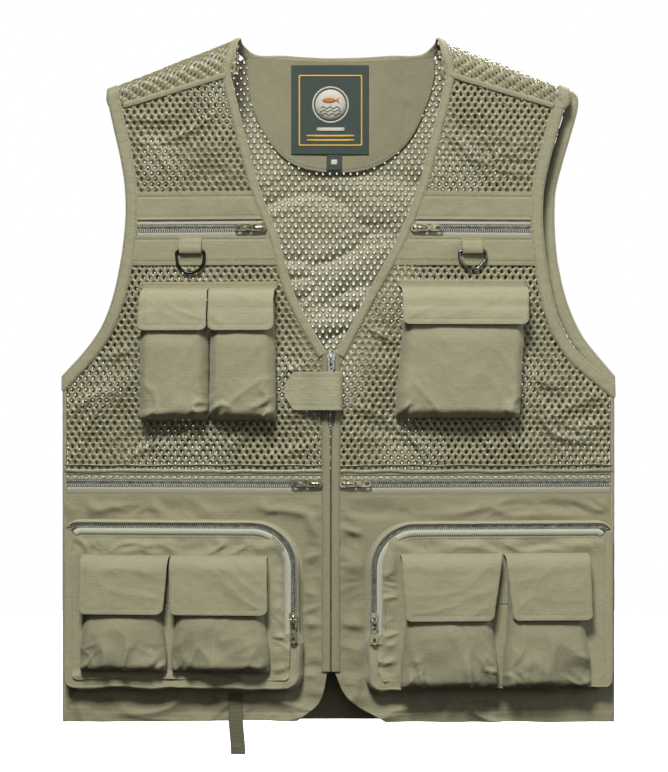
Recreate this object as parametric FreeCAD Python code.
import FreeCAD, Part
import math
import os

# Fishing vest, worn size M, lying slightly filled out. Millimetres.
# The row frame: +X to the wearer's left, -Y forward, +Z up, origin on the shoulders.
# Every height h is measured up from the hem. Each front half is flat and is drawn
# in its own plane: u runs inward from the side seam, n stands forward of the plane.

V = FreeCAD.Vector

# ---- body
SHOULDER_H = 680.0          # height of the origin above the hem
HINGE_X = 277.0             # side seams, about which the fronts open
HALF_WIDTH = 273.5          # cloth edge at the side seam
ZIP_X = -7.5                # centre line of the front zip
FRONT_DEPTH = 34.0          # how far the zip stands forward of the side seams
BACK_DEPTH = 24.0           # how far the back bows out behind them
SEAM_GAP = 0.3              # half the gap between front and back at the side seam
CLOTH = 1.6                 # shell cloth and net
SKIN = SEAM_GAP + CLOTH     # outer face of the shell cloth
BINDING = 2.9               # outer face of the bound edges

# ---- bands of each front, from the hem up
MESH_H0, BAND_H0, BAND_H1 = 250.0, 457.0, 528.0
YOKE_H0 = 528.8             # the yoke starts just above the chest band
PLACKET_H0, NECK_JOIN_H = 54.0, 366.0
PLACKET_IN, PLACKET_OUT = 13.0, 3.8   # distances from the zip's centre line
NECK_HALF, ARM_HALF = 4.6, 6.5        # half widths of the bindings

# ---- zips: two toothed halves with a gap for the slider's post
TEETH_IN, TEETH_OUT, TAPE_OUT = 0.8, 3.4, 9.0
CHAIN_BACK, CHAIN_FRONT, TAPE_FRONT = -0.9, 2.1, 0.3
CHANNEL = (-1.3, 3.2)       # inside of a pocket slider, clear of its zip and the bindings
MAIN_CHANNEL = (-2.0, 3.6)  # the front zip bends at its centre line, so it needs more
SLOT_HALF = 3.7
MAIN_SLIDER_H = 361.5
CHEST_ZIP_H, WAIST_ZIP_H = 493.0, 239.5
WAIST_ZIP_U0 = 10.0         # the waist zips start this far from the side seam
WAIST_SLIDER_D = 15.5       # slider's distance from the front zip

# ---- zip slider and pull
SLIDER_HALF_L, SLIDER_HALF_W = 8.0, 4.4
PLATE = 1.4
BRIDGE_RISE, BRIDGE_BAR = 3.6, 1.2
PIVOT_RISE = 2.7            # pull's pivot above the inside of the front plate
PULL_L, PULL_HALF_W, PULL_HALF_T = 24.0, 3.4, 0.8

# ---- pockets
WALL = 1.4
CARGO_N = 20.0              # front face of the cargo pockets
CARGO_CHAIN = 6.2           # zip's centre line inside the pocket's edge
SMALL_N = 32.0              # front face of the small pockets on them
CHEST_N = 21.0              # front face of the chest pockets
FLAP_GAP, FLAP_T, FLAP_DROP = 2.2, 1.8, 9.0
HINGE_RISE = 1.6            # flap's hinge line forward of the cloth it is sewn to
POCKET_TOP_DROP = 14.0      # pocket's rim below its flap's hinge
PATCH_H, PATCH_RISE, PATCH_T = 16.0, 7.0, 0.8   # hook and loop patches, above the flap's edge
BAG_N, BAG_SKIN = -4.8, 1.0 # the bags behind the zips

# ---- small pieces on the fronts
TAIL = (169.5, 184.5, -30.0, 31.0, 3.4, 4.9)    # webbing tail on the right front
TAB_H0, TAB_H1 = 312.0, 350.0                   # storm tab across the front zip
TAB_IN, TAB_OUT, TAB_CUT = 12.0, 46.0, 9.0      # its ends either side of the zip, its cut corners

SIDES = {
    "right": {
        "sign": -1, "zip_from_hinge": HINGE_X + ZIP_X, "zip_top": 350.0,
        "arm": [(224, 622), (206, 524), (210, 465), (231, 392), (280, 332)],
        "back_arm": [(222, 622), (204, 524), (208, 465), (229, 392), (280, 332)],
        "corner": [(12, 22), (33, 5)],
        "chest_zip": (78.5, 202.0),
        "chest_pockets": [(82.0, 150.0, "outer"), (152.5, 217.0, "inner")],
        "chest_body": (304.0, 432.0, 391.0),
        "header": (81.0, 218.0),
        "cargo": (5.5, 243.6, 37.0, 204.0),
        "small": [(25.0, 110.0, "outer"), (117.0, 212.6, "inner")],
        "small_body": (55.0, 167.0, 110.5),
        "loop": (120.5, 142.6, 467.0, 485.0),
    },
    "left": {
        "sign": 1, "zip_from_hinge": HINGE_X - ZIP_X, "zip_top": 371.0,
        "arm": [(221, 622), (198, 522), (201, 460), (225, 378), (280, 326)],
        "back_arm": [(226, 622), (211, 524), (213, 465), (234, 392), (280, 332)],
        "corner": [(14, 30), (54, 3.5)],
        "chest_zip": (86.5, 202.0),
        "chest_pockets": [(94.0, 217.0, "")],
        "chest_body": (306.0, 434.0, 397.0),
        "header": (92.0, 219.0),
        "cargo": (5.5, 252.5, 36.0, 203.0),
        "small": [(32.0, 118.0, "outer"), (125.0, 219.5, "inner")],
        "small_body": (39.5, 169.0, 104.5),
        "loop": (135.4, 155.6, 467.0, 483.0),
    },
}
NECK_UPPER = [(110, 672), (111.5, 645), (98.5, 591), (81, 527), (66, 489)]
NECK_LOWER = [(40, 425), (8.4, 366)]      # distances from the zip

for side in SIDES.values():
    side["tilt"] = math.atan2(FRONT_DEPTH, side["zip_from_hinge"])
    side["zip_u"] = math.hypot(FRONT_DEPTH, side["zip_from_hinge"])


# ---- flat drawing helpers: outlines lie in the XZ plane
def face(points):
    corners = [V(a, 0, b) for a, b in points]
    return Part.Face(Part.makePolygon(corners + corners[:1]))


def rect(a0, b0, a1, b1):
    return face([(a0, b0), (a1, b0), (a1, b1), (a0, b1)])


def straight(points):
    corners = [V(a, 0, b) for a, b in points]
    return [Part.makeLine(a, b) for a, b in zip(corners, corners[1:])]


def curve(points):
    spline = Part.BSplineCurve()
    spline.interpolate([V(a, 0, b) for a, b in points])
    return spline.toShape()


def shifted(points, distance):
    """The line of points moved sideways, to the left of its own direction."""
    moved = []
    for i, (a, b) in enumerate(points):
        a0, b0 = points[max(i - 1, 0)]
        a1, b1 = points[min(i + 1, len(points) - 1)]
        length = math.hypot(a1 - a0, b1 - b0)
        moved.append((a - distance * (b1 - b0) / length, b + distance * (a1 - a0) / length))
    return moved


def strip(points, left, right):
    """A band that follows a smooth line, between two distances to its left."""
    one, two = shifted(points, left), shifted(points, right)
    ends = [Part.makeLine(V(one[i][0], 0, one[i][1]), V(two[i][0], 0, two[i][1])) for i in (-1, 0)]
    return Part.Face(Part.Wire([curve(one), ends[0], curve(two), ends[1]]))


def raised(flat, n0, n1):
    """An outline made solid between two heights forward of its plane."""
    moved = flat.copy()
    moved.translate(V(0, -n0, 0))
    return moved.extrude(V(0, n0 - n1, 0))


def block(u0, u1, h0, h1, n0, n1):
    return Part.makeBox(u1 - u0, n1 - n0, h1 - h0, V(u0, -n1, h0))


def drop_to_origin(shape):
    shape.translate(V(0, 0, -SHOULDER_H))
    return shape


def place(shape, side):
    """Carries a solid from a front's own plane to the row frame."""
    moved = shape.copy()
    if side["sign"] > 0:
        moved = moved.mirror(V(0, 0, 0), V(1, 0, 0))
    moved.rotate(V(0, 0, 0), V(0, 0, 1), side["sign"] * math.degrees(side["tilt"]))
    moved.translate(V(side["sign"] * HINGE_X, 0, 0))
    return drop_to_origin(moved)


def u_at(side, x):
    """Distance along the front from the side seam to a place x from the middle."""
    return (HINGE_X - x) / math.cos(side["tilt"])


# ---- outlines of a front
def neck_line(side):
    upper = [(u_at(side, x), h) for x, h in NECK_UPPER]
    return upper + [(side["zip_u"] - d, h) for d, h in NECK_LOWER]


def arm_line(side):
    return [(u_at(side, x), h) for x, h in side["arm"]]


def front_cloth(side):
    """The whole front inside its bound edges."""
    zip_u = side["zip_u"]
    edge_in, edge_out = zip_u - PLACKET_IN, zip_u - PLACKET_OUT
    (d1, h1), (d2, h2) = side["corner"]
    neck = list(reversed(shifted(neck_line(side), -NECK_HALF)))
    arm = shifted(arm_line(side), ARM_HALF)
    u0 = HINGE_X - HALF_WIDTH
    neck[0] = (edge_in, NECK_JOIN_H)
    corner = Part.Arc(V(zip_u - d2, 0, h2), V(zip_u - d1, 0, h1), V(edge_out, 0, PLACKET_H0))
    edges = [corner.toShape(), curve(neck), curve(arm)]
    edges += straight([(edge_out, PLACKET_H0), (edge_in, PLACKET_H0), neck[0]])
    edges += straight([neck[-1], arm[0]])
    edges += straight([arm[-1], (u0 - 12, 0), (zip_u - d2, h2)])
    whole = Part.Face(Part.Wire(Part.__sortEdges__(edges)))
    edging = [strip(neck_line(side), -NECK_HALF, NECK_HALF), strip(arm_line(side), -ARM_HALF, ARM_HALF)]
    return whole.common(rect(u0, -10, zip_u, 700)).cut(edging)


# ---- zips
def teeth_rows(flat_zip):
    """flat_zip(a, b) gives the outline between two distances from the centre line."""
    solids = []
    for sign in (-1, 1):
        tape = flat_zip(sign * TEETH_IN, sign * TAPE_OUT)
        teeth = flat_zip(sign * TEETH_IN, sign * TEETH_OUT)
        solids.append(raised(tape, CHAIN_BACK, TAPE_FRONT).fuse(raised(teeth, TAPE_FRONT, CHAIN_FRONT)))
    return solids


def straight_zip(u0, u1, h):
    return teeth_rows(lambda a, b: rect(u0, min(h + a, h + b), u1, max(h + a, h + b)))


def zip_slider(back, front):
    """Slider travelling along X, its channel open between two heights."""
    nose, tail, length = SLIDER_HALF_W, SLIDER_HALF_W - 1.2, SLIDER_HALF_L
    plate = face([(length, -nose), (length, nose), (-length, tail), (-length, -tail)])
    bridge_top = front + PLATE + BRIDGE_RISE
    body = raised(plate, front, front + PLATE).fuse([
        raised(plate, back - PLATE, back),
        block(-1.5, 1.5, -0.5, 0.5, back, front),
        block(-5.8, 5.8, -1.2, 1.2, bridge_top - BRIDGE_BAR, bridge_top),
        block(-5.8, -4.4, -1.2, 1.2, front + PLATE, bridge_top),
        block(4.4, 5.8, -1.2, 1.2, front + PLATE, bridge_top)])
    return body.removeSplitter()


def zip_pull(front):
    """Pull that lies flat and points along -X from its pivot in the bridge."""
    n = front + PIVOT_RISE
    bar = Part.makeCylinder(0.9, 2 * PULL_HALF_W, V(0, -n, -PULL_HALF_W), V(0, 0, 1))
    plate = block(-PULL_L, 0, -PULL_HALF_W, PULL_HALF_W, n - PULL_HALF_T, n + PULL_HALF_T)
    plate = plate.cut(block(-9, 1, -2, 2, n - 2, n + 2))
    eye = Part.makeCylinder(1.8, 6, V(3.6 - PULL_L, -n - 3, 0), V(0, 1, 0))
    return bar.fuse(plate.cut(eye)).removeSplitter()


def upright(shape):
    """Turns a slider or pull made along X so that the pull hangs down."""
    turned = shape.copy()
    turned.rotate(V(0, 0, 0), V(0, 1, 0), -90)
    return turned


def at(shape, u, h):
    moved = shape.copy()
    moved.translate(V(u, 0, h))
    return moved


# ---- pieces of a front
def main_zip_half(side):
    zip_u = side["zip_u"]
    bottom, top = PLACKET_H0 + 1, side["zip_top"]
    tape = rect(zip_u - PLACKET_IN + 1, bottom, zip_u - TEETH_IN, top)
    teeth = rect(zip_u - TEETH_OUT, bottom, zip_u - TEETH_IN, top)
    return raised(tape, CHAIN_BACK, TAPE_FRONT).fuse(raised(teeth, TAPE_FRONT, CHAIN_FRONT))


def edge_bindings(side):
    """Placket, lower neckline and armhole edging, up to the yoke."""
    zip_u = side["zip_u"]
    below_yoke = rect(HINGE_X - HALF_WIDTH, 0, zip_u, BAND_H1)
    neck = strip(neck_line(side), -NECK_HALF, NECK_HALF).common(below_yoke)
    neck = neck.common(rect(0, NECK_JOIN_H, zip_u - PLACKET_OUT, BAND_H1))
    placket = rect(zip_u - PLACKET_IN, PLACKET_H0, zip_u - PLACKET_OUT, NECK_JOIN_H)
    arm = strip(arm_line(side), -ARM_HALF, ARM_HALF).common(below_yoke)
    return [raised(flat, SEAM_GAP, BINDING) for flat in (neck, placket, arm)]


def chest_band(side, cloth):
    u0, u1 = side["chest_zip"]
    flat = cloth.common(rect(0, BAND_H0, 300, BAND_H1))
    slot = rect(u0 - 12, CHEST_ZIP_H - SLOT_HALF, u1 + 12, CHEST_ZIP_H + SLOT_HALF)
    return raised(flat.cut(slot), SEAM_GAP, SKIN)


def waist_zip_ends(side):
    return WAIST_ZIP_U0, side["zip_u"] - PLACKET_IN - 0.3


def lower_panel(side, cloth):
    u0, u1 = waist_zip_ends(side)
    flat = cloth.common(rect(0, -5, 300, MESH_H0))
    slot = rect(u0 - 1, WAIST_ZIP_H - SLOT_HALF, u1 + 0.3, WAIST_ZIP_H + SLOT_HALF)
    return raised(flat.cut(slot), SEAM_GAP, SKIN)


def cargo_outline(side):
    """Rounded outline, its largest corner where the zip turns down."""
    u0, u1, h0, h1 = side["cargo"]
    corners = [(u0, h0, 8.0), (u1, h0, 16.0), (u1, h1, 48.0), (u0, h1, 14.0)]
    edges, ends = [], []
    for i, (a, b, r) in enumerate(corners):
        towards = 1 if i in (0, 3) else -1
        upward = 1 if i in (0, 1) else -1
        centre = (a + towards * r, b + upward * r)
        on_side, on_level = (a, centre[1]), (centre[0], b)
        mid = (centre[0] - towards * r * math.sqrt(0.5), centre[1] - upward * r * math.sqrt(0.5))
        first, last = (on_side, on_level) if i in (0, 2) else (on_level, on_side)
        edges.append(Part.Arc(*[V(p[0], 0, p[1]) for p in (first, mid, last)]).toShape())
        ends.append((first, last))
    for i in range(4):
        a, b = ends[i][1], ends[(i + 1) % 4][0]
        edges.append(Part.makeLine(V(a[0], 0, a[1]), V(b[0], 0, b[1])))
    return Part.Face(Part.Wire(Part.__sortEdges__(edges)))


def cargo_zone(side):
    """Where the cargo zip runs: along the top, round the corner and down."""
    u0, u1, h0, h1 = side["cargo"]
    return face([(u0 + 12, h1 + 5), (u0 + 12, h1 - 30), (u1 - 60, h1 - 30), (u1 - 60, h0 + 52),
                 (u1 + 5, h0 + 52), (u1 + 5, h1 + 5)])


def inset_band(outline, a, b):
    near, far = sorted((a, b))
    return outline.makeOffset2D(-near).cut(outline.makeOffset2D(-far))


def cargo_pocket(side):
    outline = cargo_outline(side)
    slot = inset_band(outline, CARGO_CHAIN - SLOT_HALF, CARGO_CHAIN + SLOT_HALF)
    front = outline.cut(slot.common(cargo_zone(side)))
    gusset = inset_band(outline, 0, 1.2)
    return raised(gusset, SKIN, CARGO_N - CLOTH).fuse(raised(front, CARGO_N - CLOTH, CARGO_N))


def cargo_zip(side):
    outline, zone = cargo_outline(side), cargo_zone(side)
    rise = CARGO_N - SKIN
    solids = []
    for sign in (-1, 1):
        a, b = CARGO_CHAIN + sign * TEETH_IN, CARGO_CHAIN + sign * TEETH_OUT
        row = inset_band(outline, a, b).common(zone)
        solids.append(raised(row, CHAIN_BACK + rise, CHAIN_FRONT + rise))
    return solids


def open_pocket(u0, u1, h0, h1, n0, n1):
    """Front, bottom and sides of a patch pocket; the panel is its back."""
    outer = block(u0, u1, h0, h1, n0, n1)
    return outer.cut(block(u0 + WALL, u1 - WALL, h0 + WALL, h1 + 1, n0 - 1, n1 - WALL))


def patch(u0, u1, h, n):
    """A piece of hook or loop tape across the middle of a pocket."""
    middle, half = (u0 + u1) / 2, (u1 - u0) * 0.3
    low = h + PATCH_RISE
    return block(middle - half, middle + half, low, low + PATCH_H, n, n + PATCH_T)


def flap(u0, u1, h_top, h_low, n_base, n_front):
    """Lid with its hinge at the top seam, and the hook tape inside it."""
    n0, n1 = n_base + HINGE_RISE, n_front + FLAP_GAP
    profile = [(n0, h_top), (n1 + FLAP_T, h_top - FLAP_DROP), (n1 + FLAP_T, h_low), (n1, h_low),
               (n1, h_top - FLAP_DROP - 1.2), (n0, h_top - FLAP_T)]
    wire = Part.makePolygon([V(u0, -n, h) for n, h in profile + profile[:1]])
    return [Part.Face(wire).extrude(V(u1 - u0, 0, 0)), patch(u0, u1, h_low, n1 - PATCH_T)]


def chest_pockets(side):
    h0, h_top, h_low = side["chest_body"]
    solids = [open_pocket(u0, u1, h0, h_top - POCKET_TOP_DROP, SKIN, CHEST_N)
              for u0, u1, where in side["chest_pockets"]]
    u0, u1 = side["header"]
    return solids + [block(u0, u1, h_top + 0.6, h_top + 7.5, SKIN, SKIN + 1.2)]


def small_pockets(side):
    h0, h_top, h_low = side["small_body"]
    return [open_pocket(u0, u1, h0, h_top - POCKET_TOP_DROP, CARGO_N, SMALL_N)
            for u0, u1, where in side["small"]]


def loop_patches(side):
    h_chest, h_small = side["chest_body"][2], side["small_body"][2]
    solids = [patch(u0, u1, h_chest, CHEST_N) for u0, u1, where in side["chest_pockets"]]
    solids += [patch(u0, u1, h_small, SMALL_N) for u0, u1, where in side["small"]]
    if side["sign"] < 0:
        outer, inner = side["zip_u"] - TAB_OUT + 2, side["zip_u"] - TAB_OUT + PATCH_H
        solids.append(block(outer, inner, TAB_H0 + TAB_CUT, TAB_H1 - TAB_CUT, SKIN, SKIN + PATCH_T))
    return solids


def bag(u0, u1, h0, h1, zip_h):
    """A flat bag sewn behind a zip, open towards it and beside the slider's path."""
    skin, window, deep, near = BAG_SKIN, TAPE_OUT + 0.4, BAG_N + BAG_SKIN, SEAM_GAP + 1
    outer = block(u0, u1, h0, h1, BAG_N, SEAM_GAP)
    inside = block(u0 + skin, u1 - skin, h0 + skin, h1 - skin, deep, near)
    return outer.cut(inside).cut(block(u0 - 1, u1 + 1, zip_h - window, zip_h + window, deep, near))


def pocket_bags(side):
    u0, u1 = side["chest_zip"]
    return [bag(u0 - 3, u1 - 12, BAND_H0 + 2, BAND_H1 - 2, CHEST_ZIP_H),
            bag(25, side["zip_u"] - 14, 90, MESH_H0, WAIST_ZIP_H)]


def ring_loop(side):
    u0, u1, h0, h1 = side["loop"]
    body = block(u0, u1, h0, h1, SKIN, SKIN + 6.6)
    return body.cut(block(u0 - 1, u1 + 1, h0 + 1.2, h0 + 6, SKIN + 1.2, SKIN + 5.6))


def ring_pivot(side):
    """Centre of the D-ring's straight bar, inside its loop."""
    u0, u1, h0, h1 = side["loop"]
    return (u0 + u1) / 2, h0 + 3.4, SKIN + 3.4


def d_ring(side):
    u, h, n = ring_pivot(side)
    wire, half, leg = 1.5, 13.6, 8.5
    solids = [Part.makeCylinder(wire, 2 * half, V(u - half, -n, h), V(1, 0, 0))]
    for sign in (-1, 1):
        solids.append(Part.makeSphere(wire, V(u + sign * half, -n, h)))
        solids.append(Part.makeCylinder(wire, leg, V(u + sign * half, -n, h), V(0, 0, -1)))
    centre = V(u, -n, h - leg)
    bow = Part.makeTorus(half, wire, centre, V(0, 1, 0), -180, 180, 180)
    bow.rotate(centre, V(0, 1, 0), 90)
    return solids[0].fuse(solids[1:] + [bow]).removeSplitter()


def storm_tab():
    """Tab sewn beside the zip on the left front, arched over the zip to the right."""
    inner = [(10, 3.0), (7.5, 12), (-10, 12), (-30, 1.8), (-46, -0.2)]
    outer = [(-46, 1.6), (-29.5, 3.7), (-9.5, 13.9), (9.3, 13.9), (11.8, 3.4)]
    wire = Part.makePolygon([V(ZIP_X + d, -FRONT_DEPTH - f, 0) for d, f in inner + outer + inner[:1]])
    body = Part.Face(wire).extrude(V(0, 0, TAB_H1 + 1))
    right, tip, middle = ZIP_X + TAB_IN, ZIP_X - TAB_OUT, (TAB_H0 + TAB_H1) / 2
    ends = face([(right, TAB_H0), (right, TAB_H1), (tip + TAB_CUT, TAB_H1), (tip, middle + 5),
                 (tip, middle - 5), (tip + TAB_CUT, TAB_H0)])
    ends.translate(V(0, -90, 0))
    return body.common(ends.extrude(V(0, 80, 0)))


def front_nodes(side):
    """Every solid that is sewn to one front."""
    cloth = front_cloth(side)
    zip_u = side["zip_u"]
    zips = straight_zip(*side["chest_zip"], CHEST_ZIP_H)
    zips += straight_zip(*waist_zip_ends(side), WAIST_ZIP_H) + cargo_zip(side)
    return {
        "mesh_panel": [raised(cloth.common(rect(0, MESH_H0, zip_u, BAND_H0)), SEAM_GAP, SKIN)],
        "chest_band": [chest_band(side, cloth)],
        "lower_panel": [lower_panel(side, cloth)],
        "edge_bindings": edge_bindings(side),
        "main_zip_half": [main_zip_half(side)],
        "pocket_zips": zips,
        "chest_pockets": chest_pockets(side),
        "cargo_pocket": [cargo_pocket(side)],
        "cargo_small_pockets": small_pockets(side),
        "ring_loop": [ring_loop(side)],
        "loop_patches": loop_patches(side),
        "pocket_bags": pocket_bags(side),
        "d_ring": [d_ring(side)],
    }


def slider_places(side):
    """Zip, its slider's centre, how far forward it lies and whether it runs upright."""
    u_cargo = side["cargo"][1] - CARGO_CHAIN
    return {"chest": (side["chest_zip"][1] - 2, CHEST_ZIP_H, 0.0, False),
            "waist": (side["zip_u"] - WAIST_SLIDER_D, WAIST_ZIP_H, 0.0, False),
            "cargo": (u_cargo, side["cargo"][2] + 69, CARGO_N - SKIN, True)}


def slider_nodes(name, side):
    found = {}
    for which, (u, h, rise, is_upright) in slider_places(side).items():
        back, front = (n + rise for n in CHANNEL)
        body, pull = zip_slider(back, front), zip_pull(front)
        if is_upright:
            body, pull = upright(body), upright(pull)
        found[f"{which}_slider_{name}"] = [at(body, u, h)]
        found[f"{which}_pull_{name}"] = [at(pull, u, h)]
    return found


def flap_nodes(name, side):
    found = {}
    groups = (("chest", side["chest_pockets"], side["chest_body"], SKIN, CHEST_N),
              ("cargo", side["small"], side["small_body"], CARGO_N, SMALL_N))
    for kind, pockets, (h0, h_top, h_low), n_base, n_front in groups:
        for u0, u1, where in pockets:
            node = "_".join(part for part in (kind, "flap", name, where) if part)
            found[node] = flap(u0 - 1, u1 + 1, h_top, h_low, n_base, n_front)
    return found


# ---- back and shoulders, in the row frame
BACK_R = (HINGE_X ** 2 + BACK_DEPTH ** 2) / (2 * BACK_DEPTH)


def back_plate(flat, n0, n1):
    """An outline laid on the bowed back, between two heights behind it."""
    centre = V(0, BACK_DEPTH - BACK_R, -60)
    ring = Part.makeCylinder(BACK_R + n1, 800, centre).cut(Part.makeCylinder(BACK_R + n0, 800, centre))
    prism = flat.copy()
    prism.translate(V(0, -3, 0))
    return prism.extrude(V(0, 45, 0)).common(ring)


def back_y(x, n):
    return BACK_DEPTH - BACK_R + math.sqrt((BACK_R + n) ** 2 - x ** 2)


def front_y(side, x, n):
    return -(HINGE_X - x) * math.tan(side["tilt"]) - n / math.cos(side["tilt"])


TIP_X, NECK_X = 232.0, 97.0
NECK_RIM = [(-NECK_X, 666), (0, 657.5), (NECK_X, 666)]   # back neckline, below its binding
NECK_TOP, TIP_TOP, NECK_FOOT, TIP_FOOT = 684.0, 632.0, 650.0, 612.0


def shoulder_foot(x):
    """Height at which the front and back legs of the shoulder start."""
    return NECK_FOOT + (TIP_FOOT - NECK_FOOT) * (x - NECK_X) / (TIP_X - NECK_X)


def shoulder_arch(side, x, n0, n1):
    """Closed outline of the shoulder's fold at one x: two legs and a half circle."""
    top = NECK_TOP + (TIP_TOP - NECK_TOP) * (x - NECK_X) / (TIP_X - NECK_X)
    foot = shoulder_foot(x)
    outer_radius = (back_y(x, SKIN) - front_y(side, x, SKIN)) / 2
    spring = top - outer_radius
    rows = []
    for n in (n1, n0):
        yf, yb = front_y(side, x, n), back_y(x, n)
        rows.append((V(0, yf, foot), V(0, yf, spring), V(0, (yf + yb) / 2, spring + (yb - yf) / 2),
                     V(0, yb, spring), V(0, yb, foot)))
    edges = []
    for a, b, crown, c, d in rows:
        edges.append([Part.makeLine(a, b), Part.Arc(b, crown, c).toShape(), Part.makeLine(c, d)])
    outer, inner = rows
    ends = [Part.makeLine(outer[4], inner[4]), Part.makeLine(inner[0], outer[0])]
    wire = Part.Wire(edges[0] + [ends[0]] + edges[1][::-1] + [ends[1]])
    wire.translate(V(side["sign"] * x, 0, 0))
    return wire


def shoulder_fold(side, x0, x1, n0, n1):
    wires = [shoulder_arch(side, x, n0, n1) for x in (x0, x1)]
    return Part.makeLoft(wires, True, True)


def back_panels():
    """Outline of the back inside its bindings, as seen from the front."""
    arms = []
    for side in SIDES.values():
        line = [(side["sign"] * x, h) for x, h in side["back_arm"]]
        arms.append(shifted(line, -side["sign"] * ARM_HALF))
    right, left = arms
    edges = [curve(right[::-1]), curve(NECK_RIM), curve(left)]
    edges += straight([right[0], (-NECK_X, NECK_FOOT - 1), NECK_RIM[0]])
    edges += straight([NECK_RIM[2], (NECK_X, NECK_FOOT - 1), left[0]])
    edges += straight([left[-1], (290, -5), (-290, -5), right[-1]])
    outline = Part.Face(Part.Wire(Part.__sortEdges__(edges)))
    return outline.common(rect(-HALF_WIDTH, 2, HALF_WIDTH, 700))


def back_nodes():
    cloth = back_panels()
    mesh = back_plate(cloth.common(rect(-300, MESH_H0 + 0.1, 300, 700)), SEAM_GAP, SKIN)
    folds = [shoulder_fold(side, NECK_X + 10.5, TIP_X - 13.5, SEAM_GAP, SKIN) for side in SIDES.values()]
    mesh = mesh.fuse(folds).removeSplitter()
    lower = back_plate(cloth.common(rect(-300, 0, 300, MESH_H0)), SEAM_GAP, SKIN)
    bowl = Part.Face(Part.Wire([curve([(-90, 655), (-80, 600), (-40, 557), (0, 551), (38, 557), (82, 600),
                                       (95, 655)]), Part.makeLine(V(95, 0, 655), V(-90, 0, 655))]))
    inside = SEAM_GAP - 0.2
    facing = back_plate(bowl, inside - 1.4, inside)
    label = back_plate(rect(-47.5, 569, 30.5, 655), inside - 2.4, inside - 1.5)
    size = back_plate(rect(-12, 553, 3, 569), inside - 2.4, inside - 1.5)
    return {"back_mesh_panel": [mesh], "back_lower_panel": [lower], "neck_facing": [facing],
            "neck_label": [label], "size_label": [size]}


def yoke_nodes():
    """Front shoulders, bindings and seam ridges that stay with the back."""
    found = {"neck_binding": [], "rear_armhole_bindings": [], "shoulder_seams": []}
    rear_neck = strip(NECK_RIM, 0, 8.5).common(rect(-NECK_X, 600, NECK_X, 700))
    found["neck_binding"].append(drop_to_origin(back_plate(rear_neck, SEAM_GAP, BINDING)))
    for name, side in SIDES.items():
        foot = face([(u_at(side, TIP_X), YOKE_H0), (u_at(side, 40), YOKE_H0),
                     (u_at(side, 40), shoulder_foot(40) - 0.2), (u_at(side, TIP_X), TIP_FOOT - 0.2)])
        cloth = front_cloth(side).common(foot)
        found[f"shoulder_mesh_{name}"] = [place(raised(cloth, SEAM_GAP, SKIN), side)]
        neck = strip(neck_line(side), -NECK_HALF, NECK_HALF).common(foot)
        arm = strip(arm_line(side), -ARM_HALF, ARM_HALF).common(foot)
        found["neck_binding"].append(place(raised(neck, SEAM_GAP, BINDING), side))
        found["rear_armhole_bindings"].append(place(raised(arm, SEAM_GAP, BINDING), side))
        over_neck = shoulder_fold(side, NECK_X, NECK_X + 10, SEAM_GAP, BINDING)
        over_tip = shoulder_fold(side, TIP_X - 13, TIP_X, SEAM_GAP, BINDING)
        found["neck_binding"].append(drop_to_origin(over_neck))
        found["rear_armhole_bindings"].append(drop_to_origin(over_tip))
        line = [(side["sign"] * x, h) for x, h in side["back_arm"]]
        below_fold = rect(-HALF_WIDTH, 300, HALF_WIDTH, TIP_FOOT)
        rear = strip(line, -ARM_HALF, ARM_HALF).common(below_fold)
        found["rear_armhole_bindings"].append(drop_to_origin(back_plate(rear, SEAM_GAP, BINDING)))
        start, end = V(u_at(side, 118), -SKIN - 1.6, 643), V(u_at(side, 205), -SKIN - 1.6, 618)
        ridge = Part.makeCylinder(1.6, (end - start).Length, start, end - start)
        found["shoulder_seams"].append(place(ridge, side))
    return found


def export(node, solids):
    shape = solids[0] if len(solids) == 1 else Part.makeCompound(solids)
    shape.exportStep(f"parts/{node}.step")
    bad = "" if shape.isValid() else "  NOT VALID"
    print(f"{node}: {len(shape.Solids)} solids, {shape.Volume / 1000:.2f} cm3{bad}")


def main():
    os.makedirs("parts", exist_ok=True)
    nodes = {node: [drop_to_origin(s) for s in solids] for node, solids in back_nodes().items()}
    nodes.update(yoke_nodes())
    for name, side in SIDES.items():
        local = {f"{node}_{name}": solids for node, solids in front_nodes(side).items()}
        local.update(slider_nodes(name, side))
        local.update(flap_nodes(name, side))
        for node, solids in local.items():
            nodes[node] = [place(s, side) for s in solids]
    nodes["storm_tab"] = [drop_to_origin(storm_tab())]
    main = {"main_slider": zip_slider(*MAIN_CHANNEL), "main_pull": zip_pull(MAIN_CHANNEL[1])}
    for node, solid in main.items():
        shape = at(upright(solid), ZIP_X, MAIN_SLIDER_H)
        shape.translate(V(0, -FRONT_DEPTH, 0))
        nodes[node] = [drop_to_origin(shape)]
    nodes["webbing_tail"] = [place(block(*TAIL), SIDES["right"])]
    for node, solids in nodes.items():
        export(node, solids)


main()
